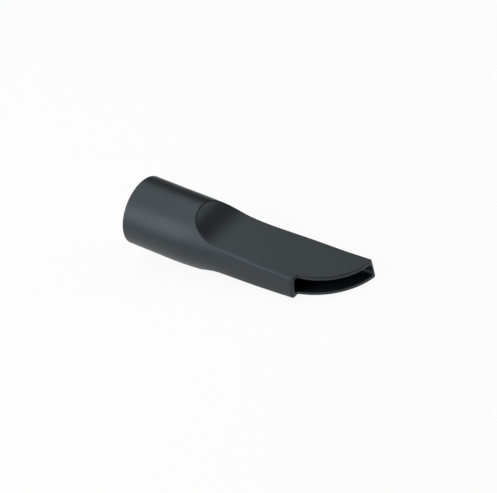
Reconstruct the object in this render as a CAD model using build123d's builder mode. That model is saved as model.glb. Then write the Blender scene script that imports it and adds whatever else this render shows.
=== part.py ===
from build123d import *
import os
from math import atan2, cos, degrees, pi, radians, sin, tan

# Crevice nozzle of a vacuum cleaner, moulded in one piece.
# It is drawn along +X, from the rear rim of its tube at X = 0 to the tip, with the blade's flats
# facing +Z and -Z, and is laid on the table at the end. Sizes are in millimetres, angles in degrees.

# Socket that slides over the end of a wand or hose handle, up to a shoulder
bore_diameter = 35.0
socket_wall = 1.8
socket_depth = 36.0
shoulder_step = 1.2
lead_in = 0.8

# Skin before it is flattened: a straight tube, then each side bends into a straight line to the mouth.
# Half widths are to the near side (-Y) and to the far side (+Y) of the tube's axis.
length = 134.0
straight_length = 20.0
round_length = 32.0
near_bend_end = 70.0
near_angle = 2.0
mouth_near = 13.5
far_bend_start = 37.0
far_bend_end = 89.0
far_angle = 5.5
mouth_far = 23.2
mouth_rise = 6.8
squaring_start = 42.0
near_squareness = 6.0
far_squareness = 6.0

# The skin stands proud of the tube by tube_relief, and a slight cone leads down to the tube's true cylinder
tube_relief = 0.06
relief_angle = 1.0

# Blade: two flats that close towards the mouth, each run out into a hollow scoop at the tube
blade_wall = 2.0
mouth_half_height = 5.45
blade_taper = 2.5
flat_start = 60.7
scoop_radius = 28.0
scoop_turn = 85.0

# Channel: a slot inside the blade, and a conical throat from the socket that runs on into the slot
slot_round = 2.4
throat_overlap = 5.3

# Tip: the near wall stops early in a round nose, and an arc carries each lip from a notch beside it to the
# far corner. The lower lip reaches further. The lips are given at tip_level above and below the axis.
near_wall_setback = 27.7
near_nose = 2.4
far_nose = 3.0
nose_clear = 0.2
notch_round = 1.0
notch_depth = 5.0
tip_level = 8.0
upper_lip_setback = 2.0
upper_lip_radius = 32.3
lower_lip_overhang = 0.8
lower_lip_radius = 40.5

# Softened edges
crest_round = 1.2
rim_bevel = 0.3
lip_bevel = 0.35

# Lying at rest on the lower scoop's crest and the lower lip, nose down and rolled to the near side
rest_pitch = 9.0
rest_roll = 3.6

# Room for the cutting shapes to pass clear of the skin
overrun = 8.0

# Least difference between the length of a bent edge and that of the straight line between its ends
least_bend = 0.01

# How finely the skin is drawn, and how far before the rim it starts
round_squareness = 2.0
section_points = 24
station_spacing = 12.0
skin_lead = 24.0

bore_radius = bore_diameter / 2
rim_radius = bore_radius + socket_wall
near_wall_end = length - near_wall_setback


def smooth_step(x, start, end):
    """0 before start, 1 after end, with no slope or bend at either."""
    share = min(max((x - start) / (end - start), 0), 1)
    return share**3 * (10 - 15 * share + 6 * share**2)


def between(first, last, share):
    return first + (last - first) * share


def near_line(x):
    return mouth_near + (length - x) * tan(radians(near_angle))


def far_line(x):
    return mouth_far - (length - x) * tan(radians(far_angle))


def near_side(x):
    return between(rim_radius, near_line(x), smooth_step(x, straight_length, near_bend_end))


def far_side(x):
    return between(rim_radius, far_line(x), smooth_step(x, far_bend_start, far_bend_end))


def flat_height(x):
    return mouth_half_height + (length - x) * tan(radians(blade_taper))


def skin_section(x):
    """Closed outline of the skin at x: a circle on the tube that squares up towards the mouth."""
    flattening = smooth_step(x, round_length, length)
    squaring = smooth_step(x, squaring_start, length)
    relief = between(tube_relief, 0, smooth_step(x, socket_depth, flat_start))
    near = near_side(x) + relief
    far = far_side(x) + relief
    rise = between(rim_radius, mouth_rise, flattening) + relief
    middle = (far - near) / 2
    half = (far + near) / 2
    outline = []
    for index in range(section_points):
        across = cos(2 * pi * index / section_points)
        up = sin(2 * pi * index / section_points)
        side_squareness = far_squareness if across > 0 else near_squareness
        power = between(round_squareness, side_squareness, squaring)
        reach = (abs(across) ** power + abs(up) ** power) ** (-1 / power)
        outline.append((middle + half * across * reach, rise * up * reach))
    return outline


def skin():
    """Solid inside the skin, drawn from a lead before the rim so that it runs true there."""
    end = length + overrun
    steps = round((end + skin_lead) / station_spacing)
    even_steps = [index / section_points for index in range(section_points + 1)]
    with BuildPart() as body:
        for step in range(steps + 1):
            x = between(-skin_lead, end, step / steps)
            with BuildSketch(Plane.YZ.offset(x)):
                with BuildLine():
                    add(Edge.make_spline(skin_section(x), periodic=True, parameters=even_steps))
                make_face()
        loft()
        split(bisect_by=Plane.YZ)
    return body.part


def beyond_tube():
    """Ring that turns the tube down to its true cylinder, with the slight cone at its front."""
    cone_rise = 2 * tube_relief
    cone_end = straight_length + cone_rise / tan(radians(relief_angle))
    clear_radius = rim_radius + overrun
    with BuildPart() as ring:
        with BuildSketch(Plane.XZ):
            with BuildLine():
                Polyline(
                    (-overrun, rim_radius),
                    (straight_length, rim_radius),
                    (cone_end, rim_radius + cone_rise),
                    (cone_end, clear_radius),
                    (-overrun, clear_radius),
                    close=True,
                )
            make_face()
        revolve(axis=Axis.X)
    return ring.part


def above_and_below(inset):
    """Solids above and below the flats and scoops, or above and below their inner faces when set in."""
    drop = inset / cos(radians(blade_taper))
    cut_end = length + 2 * overrun
    with BuildPart() as cut:
        with BuildSketch(Plane.XZ):
            with BuildLine():
                flat = Line(
                    (cut_end, flat_height(cut_end) - drop),
                    (flat_start, flat_height(flat_start) - drop),
                )
                scoop = JernArc(flat @ 1, flat % 1, scoop_radius + inset, -scoop_turn)
                Polyline(scoop @ 1, (cut_end, (scoop @ 1).Y), flat @ 0)
            make_face()
            mirror(about=Plane.XZ)
        extrude(amount=mouth_far + rim_radius, both=True)
    return cut.part


def slot():
    """Hollow of the blade, with straight sides and its four long corners rounded."""
    end = length + overrun
    with BuildPart() as hollow:
        with BuildSketch(Plane.XY):
            with BuildLine():
                Polyline(
                    (flat_start, blade_wall - near_line(flat_start)),
                    (end, blade_wall - near_line(end)),
                    (end, far_line(end) - blade_wall),
                    (flat_start, far_line(flat_start) - blade_wall),
                    close=True,
                )
            make_face()
        extrude(amount=rim_radius, both=True)
        add(above_and_below(blade_wall), mode=Mode.SUBTRACT)
        corners = hollow.edges().sort_by(SortBy.LENGTH)[-4:]
        fillet(corners, slot_round)
    return hollow.part


def throat():
    """Cone that narrows from the socket's shoulder to the slot, under the scoops."""
    throat_end = flat_start + throat_overlap
    with BuildPart() as cone:
        with BuildSketch(Plane.YZ.offset(socket_depth)):
            Circle(bore_radius - shoulder_step)
        with BuildSketch(Plane.YZ.offset(throat_end)):
            Circle(near_side(throat_end) - blade_wall)
        loft(ruled=True)
        add(above_and_below(blade_wall), mode=Mode.SUBTRACT)
    return cone.part


def runs_along_flats(edge):
    """True for the edges where the flats and scoops meet the skin."""
    middle = edge.center()
    on_blade = straight_length < middle.X < length and abs(middle.Z) > mouth_half_height / 2
    return on_blade and edge.geom_type != GeomType.LINE


def beyond_mouth(level, reach, lip_radius):
    """Sketch of all that is cut away at one level, beyond the lip's arc and the walls' round ends."""
    near_end = -near_side(near_wall_end)
    far_end = far_side(length)
    far_clear = mouth_far + overrun
    near_clear = -rim_radius - overrun
    end_clear = reach + 2 * overrun
    notch = (near_wall_end, near_end + notch_depth)
    far_corner = (reach, far_end - far_nose + nose_clear)
    with BuildSketch(Plane.XY.offset(level)) as outline:
        with BuildLine():
            lip = RadiusArc(notch, far_corner, -lip_radius)
            far_turn = 180 - degrees(atan2((lip % 1).Y, (lip % 1).X))
            far_round = JernArc(lip @ 1, lip % 1, far_nose, far_turn)
            near_face = Line(notch, (near_wall_end, near_end + near_nose - nose_clear))
            near_round = JernArc(near_face @ 1, near_face % 1, near_nose, -90)
            Polyline(
                far_round @ 1,
                ((far_round @ 1).X, far_clear),
                (end_clear, far_clear),
                (end_clear, near_clear),
                ((near_round @ 1).X, near_clear),
                near_round @ 1,
            )
        make_face()
        fillet(outline.vertices().sort_by_distance(notch)[0], notch_round)
    return outline.sketch


def goes_round_tip(edge):
    """True for the edges round the tip's end face, but not for those that cross it between the lips."""
    bend = edge.length - (edge @ 1 - edge @ 0).length
    crosses = edge.length > mouth_half_height and bend < least_bend
    return edge.center().X > near_wall_end - near_nose and not crosses


with BuildPart() as nozzle:
    add(skin())
    add(beyond_tube(), mode=Mode.SUBTRACT)
    add(above_and_below(0), mode=Mode.SUBTRACT)
    fillet(nozzle.edges().filter_by(runs_along_flats), crest_round)
    upper_tip = beyond_mouth(tip_level, length - upper_lip_setback, upper_lip_radius)
    lower_tip = beyond_mouth(-tip_level, length + lower_lip_overhang, lower_lip_radius)
    loft((upper_tip, lower_tip), ruled=True, mode=Mode.SUBTRACT)
    lips = nozzle.edges(Select.LAST).filter_by(goes_round_tip)
    chamfer(lips, lip_bevel)
    chamfer(nozzle.edges().group_by(Axis.X)[0], rim_bevel)
    add(slot(), mode=Mode.SUBTRACT)
    add(throat(), mode=Mode.SUBTRACT)
    with BuildSketch(Plane.YZ):
        Circle(bore_radius)
    extrude(amount=socket_depth, mode=Mode.SUBTRACT)
    mouth = nozzle.edges().filter_by(GeomType.CIRCLE).group_by(Axis.X)[0]
    chamfer(mouth.sort_by(SortBy.RADIUS)[0], lead_in)

floor = Plane(
    origin=(0, 0, 0),
    x_dir=(1, 0, tan(radians(rest_pitch))),
    z_dir=(-tan(radians(rest_pitch)), tan(radians(rest_roll)), 1),
)
laid = floor.to_local_coords(nozzle.part)
# The edges bound the nozzle truly: a box round its faces would take in what was cut from the skin
box = Compound(laid.edges()).bounding_box()
with BuildPart() as crevice_nozzle:
    with Locations((-box.center().X, -box.center().Y, -box.min.Z)):
        add(laid)

os.makedirs("parts", exist_ok=True)
crevice_nozzle.part.label = "crevice_nozzle"
export_step(crevice_nozzle.part, "parts/crevice_nozzle.step")
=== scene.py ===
import math
import bpy
from mathutils import Matrix, Vector

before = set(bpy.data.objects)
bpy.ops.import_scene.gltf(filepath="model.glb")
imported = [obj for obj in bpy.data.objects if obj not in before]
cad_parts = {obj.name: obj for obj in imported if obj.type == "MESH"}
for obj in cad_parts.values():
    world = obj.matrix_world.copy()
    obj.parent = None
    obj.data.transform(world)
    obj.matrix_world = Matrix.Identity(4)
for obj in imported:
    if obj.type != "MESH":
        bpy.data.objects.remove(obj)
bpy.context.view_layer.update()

scene = bpy.context.scene
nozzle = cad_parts["crevice_nozzle"]
print("frame loaded:", nozzle.name)


# Small helpers for shader trees

def newMaterial(name):
    material = bpy.data.materials.new(name)
    material.use_nodes = True
    material.node_tree.nodes.clear()
    return material, material.node_tree


def addNode(tree, kind, inputs=None, **settings):
    node = tree.nodes.new(kind)
    for key, value in settings.items():   # a node's kind of data comes before its sockets' values
        setattr(node, key, value)
    for key, value in (inputs or {}).items():
        node.inputs[key].default_value = value
    return node


def addSeenRays(tree, *kinds):
    # 1 for rays of any of these kinds
    path = addNode(tree, "ShaderNodeLightPath")
    seen = path.outputs[kinds[0]]
    for kind in kinds[1:]:
        either = addNode(tree, "ShaderNodeMath", operation="MAXIMUM")
        tree.links.new(seen, either.inputs[0])
        tree.links.new(path.outputs[kind], either.inputs[1])
        seen = either.outputs["Value"]
    return seen


# Charcoal plastic of the moulding

plasticSettings = {
    "colour": (0.0102, 0.0132, 0.0155, 1.0),
    "paleColour": (0.0124, 0.0157, 0.0182, 1.0),   # where the melt flowed a little paler
    "roughness": (0.41, 0.49),         # the paler drifts are a little duller
    "specular": 0.49,
    "sheenTint": (0.79, 0.93, 1.0, 1.0),
    "flowScale": 38.0,                 # per metre: patches a few centimetres wide
    "flowStretch": (0.35, 1.0, 1.0),   # and longer along the nozzle
    "flowDetail": 3.0,
    "flowRoughness": 0.5,
    "flowLevels": (0.35, 0.68),        # noise levels between which a drift fades in
    "grainScale": 2400.0,              # per metre: the spark-eroded texture of the mould
    "grainDetail": 2.0,
    "grainRoughness": 0.6,
    "grainHeight": 0.00005,
    "grainStrength": 0.7,
}


def makePlastic(settings):
    material, tree = newMaterial("charcoalPlastic")
    links = tree.links
    place = addNode(tree, "ShaderNodeTexCoord")

    # drifts along the length of the moulding, in colour and in sheen
    stretch = addNode(tree, "ShaderNodeMapping", {"Scale": settings["flowStretch"]})
    flow = addNode(tree, "ShaderNodeTexNoise", {
        "Scale": settings["flowScale"],
        "Detail": settings["flowDetail"],
        "Roughness": settings["flowRoughness"],
    })
    fade = addNode(tree, "ShaderNodeMapRange", {
        "From Min": settings["flowLevels"][0],
        "From Max": settings["flowLevels"][1],
    })
    links.new(place.outputs["Object"], stretch.inputs["Vector"])
    links.new(stretch.outputs["Vector"], flow.inputs["Vector"])
    links.new(flow.outputs["Fac"], fade.inputs["Value"])
    drift = addNode(tree, "ShaderNodeMix", {
        "A": settings["colour"],
        "B": settings["paleColour"],
    }, data_type="RGBA")
    links.new(fade.outputs["Result"], drift.inputs["Factor"])
    sheen = addNode(tree, "ShaderNodeMapRange", {
        "To Min": settings["roughness"][0],
        "To Max": settings["roughness"][1],
    })
    links.new(fade.outputs["Result"], sheen.inputs["Value"])

    # grain of the mould's surface
    grain = addNode(tree, "ShaderNodeTexNoise", {
        "Scale": settings["grainScale"],
        "Detail": settings["grainDetail"],
        "Roughness": settings["grainRoughness"],
    })
    bump = addNode(tree, "ShaderNodeBump", {
        "Strength": settings["grainStrength"],
        "Distance": settings["grainHeight"],
    })
    links.new(place.outputs["Object"], grain.inputs["Vector"])
    links.new(grain.outputs["Fac"], bump.inputs["Height"])

    shader = addNode(tree, "ShaderNodeBsdfPrincipled", {
        "Specular IOR Level": settings["specular"],
        "Specular Tint": settings["sheenTint"],
    })
    links.new(drift.outputs["Result"], shader.inputs["Base Color"])
    links.new(sheen.outputs["Result"], shader.inputs["Roughness"])
    links.new(bump.outputs["Normal"], shader.inputs["Normal"])
    out = addNode(tree, "ShaderNodeOutputMaterial")
    links.new(shader.outputs["BSDF"], out.inputs["Surface"])
    return material


plastic = makePlastic(plasticSettings)
for slot in nozzle.material_slots:
    slot.material = plastic
print("plastic made, slots filled:", len(nozzle.material_slots))


# Floor

floorSettings = {
    "reach": 4.0,
    "colour": (0.80, 0.80, 0.80, 1.0),
    "glow": 0.92,   # share of plain white in what is seen or mirrored, which leaves a faint shadow
}


def makeFloorPaint(settings):
    material, tree = newMaterial("paleFloor")
    links = tree.links
    matt = addNode(tree, "ShaderNodeBsdfDiffuse", {"Color": settings["colour"]})
    white = addNode(tree, "ShaderNodeEmission")
    seen = addSeenRays(tree, "Is Camera Ray", "Is Glossy Ray", "Is Transmission Ray")
    share = addNode(tree, "ShaderNodeMath", {1: settings["glow"]}, operation="MULTIPLY")
    links.new(seen, share.inputs[0])
    mix = addNode(tree, "ShaderNodeMixShader")
    links.new(share.outputs["Value"], mix.inputs["Fac"])
    links.new(matt.outputs["BSDF"], mix.inputs[1])
    links.new(white.outputs["Emission"], mix.inputs[2])
    out = addNode(tree, "ShaderNodeOutputMaterial")
    links.new(mix.outputs["Shader"], out.inputs["Surface"])
    return material


def addFloor(settings):
    half = settings["reach"]
    mesh = bpy.data.meshes.new("studioFloor")
    corners = [(-half, -half, 0), (half, -half, 0), (half, half, 0), (-half, half, 0)]
    mesh.from_pydata(corners, [], [(0, 1, 2, 3)])
    mesh.materials.append(makeFloorPaint(settings))
    floor = bpy.data.objects.new("studioFloor", mesh)
    scene.collection.objects.link(floor)


addFloor(floorSettings)
print("floor laid")


# Studio light

lampSettings = {
    "aim": (0.0, 0.0, 0.02),
    "lamps": [
        # a broad sheet overhead to the left, a tall softbox on the near side, a small one beyond the tip
        {"name": "ceilingSheet", "place": (-0.32, -0.02, 1.20), "size": (1.9, 1.06), "power": 13.0},
        {"name": "nearSoftbox", "place": (-0.52, -1.08, 0.50), "size": (0.7, 1.1), "power": 11.2},
        {"name": "tipKicker", "place": (0.90, 0.68, 0.42), "size": (0.4, 0.3), "power": 1.9},
    ],
}


def addLamps(settings):
    for lamp in settings["lamps"]:
        data = bpy.data.lights.new(lamp["name"], "AREA")
        data.shape = "RECTANGLE"
        data.size, data.size_y = lamp["size"]
        data.energy = lamp["power"]
        holder = bpy.data.objects.new(lamp["name"], data)
        beam = Vector(settings["aim"]) - Vector(lamp["place"])
        holder.location = lamp["place"]
        holder.rotation_euler = beam.to_track_quat("-Z", "Y").to_euler()
        holder.visible_camera = False
        scene.collection.objects.link(holder)


worldSettings = {
    "background": 1.0,      # plain white
    "ambient": 0.12,
    "wallSheen": 0.01,      # what the plastic mirrors near the horizon
    "ceilingSheen": 0.15,   # and overhead, past the lamps
    "ceilingStart": 0.25,   # sines of the elevations between which the wall turns into the ceiling
    "ceilingEnd": 0.70,
}


def setWorld(settings):
    world = bpy.data.worlds.new("studio")
    scene.world = world
    world.use_nodes = True
    tree = world.node_tree
    tree.nodes.clear()
    links = tree.links

    # mirrored rays see dim walls that rise into a paler ceiling
    direction = addNode(tree, "ShaderNodeTexCoord")
    height = addNode(tree, "ShaderNodeSeparateXYZ")
    links.new(direction.outputs["Generated"], height.inputs["Vector"])
    rise = addNode(tree, "ShaderNodeMapRange", {
        "From Min": settings["ceilingStart"],
        "From Max": settings["ceilingEnd"],
        "To Min": settings["wallSheen"],
        "To Max": settings["ceilingSheen"],
    }, interpolation_type="SMOOTHSTEP")
    links.new(height.outputs["Z"], rise.inputs["Value"])
    mirrored = addNode(tree, "ShaderNodeMix", {"A": settings["ambient"]}, data_type="FLOAT")
    links.new(addSeenRays(tree, "Is Glossy Ray"), mirrored.inputs["Factor"])
    links.new(rise.outputs["Result"], mirrored.inputs["B"])

    # the camera sees white
    level = addNode(tree, "ShaderNodeMix", {"B": settings["background"]}, data_type="FLOAT")
    links.new(addSeenRays(tree, "Is Camera Ray", "Is Transmission Ray"), level.inputs["Factor"])
    links.new(mirrored.outputs["Result"], level.inputs["A"])
    sky = addNode(tree, "ShaderNodeBackground")
    links.new(level.outputs["Result"], sky.inputs["Strength"])
    out = addNode(tree, "ShaderNodeOutputWorld")
    links.new(sky.outputs["Background"], out.inputs["Surface"])


addLamps(lampSettings)
setWorld(worldSettings)
scene.view_settings.view_transform = "Standard"
print("lamps and world set")


# Camera at the photograph's viewing angle

cameraSettings = {
    "azimuth": 40.579,      # degrees round from the near side (-Y) towards the tip (+X)
    "elevation": 31.300,
    "roll": -9.891,
    "distance": 1.544,
    "aim": (0.003211, -0.000879, 0.016721),
    "focalPixels": 2913.8,
    "photoWidth": 497,
    "sensorWidth": 36.0,
    "clipEnd": 20.0,
}


def addCamera(settings):
    azimuth = math.radians(settings["azimuth"])
    elevation = math.radians(settings["elevation"])
    roll = math.radians(settings["roll"])
    level = Vector((math.cos(azimuth), math.sin(azimuth), 0))
    rearward = Vector((level.y, -level.x, 0))
    back = rearward * math.cos(elevation) + Vector((0, 0, math.sin(elevation)))
    right = level * math.cos(roll) + back.cross(level) * math.sin(roll)
    turn = Matrix((right, back.cross(right), back)).transposed().to_4x4()
    place = Vector(settings["aim"]) + back * settings["distance"]

    data = bpy.data.cameras.new("photoCamera")
    data.sensor_fit = "HORIZONTAL"
    data.sensor_width = settings["sensorWidth"]
    data.lens = settings["focalPixels"] * settings["sensorWidth"] / settings["photoWidth"]
    data.clip_end = settings["clipEnd"]
    camera = bpy.data.objects.new("photoCamera", data)
    camera.matrix_world = Matrix.Translation(place) @ turn
    scene.collection.objects.link(camera)
    scene.camera = camera


addCamera(cameraSettings)
print("camera placed")
